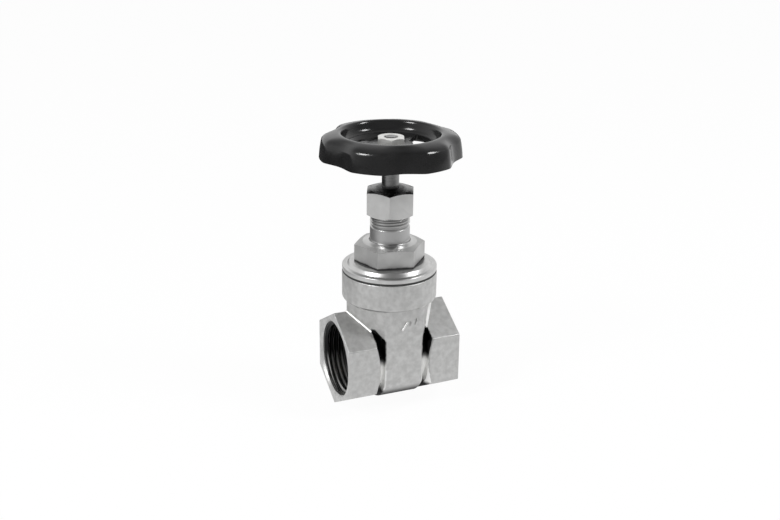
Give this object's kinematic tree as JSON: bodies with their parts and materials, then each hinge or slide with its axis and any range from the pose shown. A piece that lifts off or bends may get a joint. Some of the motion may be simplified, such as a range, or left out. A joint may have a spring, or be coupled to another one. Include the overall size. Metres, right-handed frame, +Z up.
{
  "type": "gate valve",
  "caption": "Straight screwed gate valve with hexagonal threaded ends, screwed bonnet, gland and a lobed round handwheel that lowers a wedge across the pipe.",
  "frame": {"origin": "centre of the inlet end face, on the pipe axis", "axes": "+X along the pipe from inlet to outlet, +Z up along the stem towards the handwheel, +Y across"},
  "size_m": [0.061, 0.0608, 0.1228],
  "materials": {
    "plated_body": "blasted forging with a satin nickel plating",
    "plated_turned": "turned and nickel plated",
    "plain_brass": "machined, unplated",
    "gasket_rubber": "black sealing ring",
    "packing_ring": "graphited packing",
    "black_enamel": "glossy black enamel",
    "zinc_steel": "zinc plated"
  },
  "bodies": {
    "valve": {"body": "plated_body", "bonnet": "plated_turned", "bonnet_gasket": "gasket_rubber", "packing": "packing_ring", "gland_follower": "plain_brass", "gland_nut": "plated_turned"},
    "spindle": {"stem": "plated_turned", "handwheel": "black_enamel", "wheel_nut": "zinc_steel"},
    "wedge": {"gate": "plain_brass"}
  },
  "joints": [
    {"name": "wheel_turn", "type": "hinge", "parent": "valve", "child": "spindle", "pos_m": [0.0263, 0, 0.06], "axis": [0, 0, 1], "range_deg": [-2610, 0]},
    {"name": "gate_lift", "type": "slide", "parent": "valve", "child": "wedge", "axis": [0, 0, 1], "range_m": [-0.0261, 0]}
  ],
  "couplings": [
    {"joint": "gate_lift", "follows": "wheel_turn", "m_per_rad": 0.00057295}
  ]
}
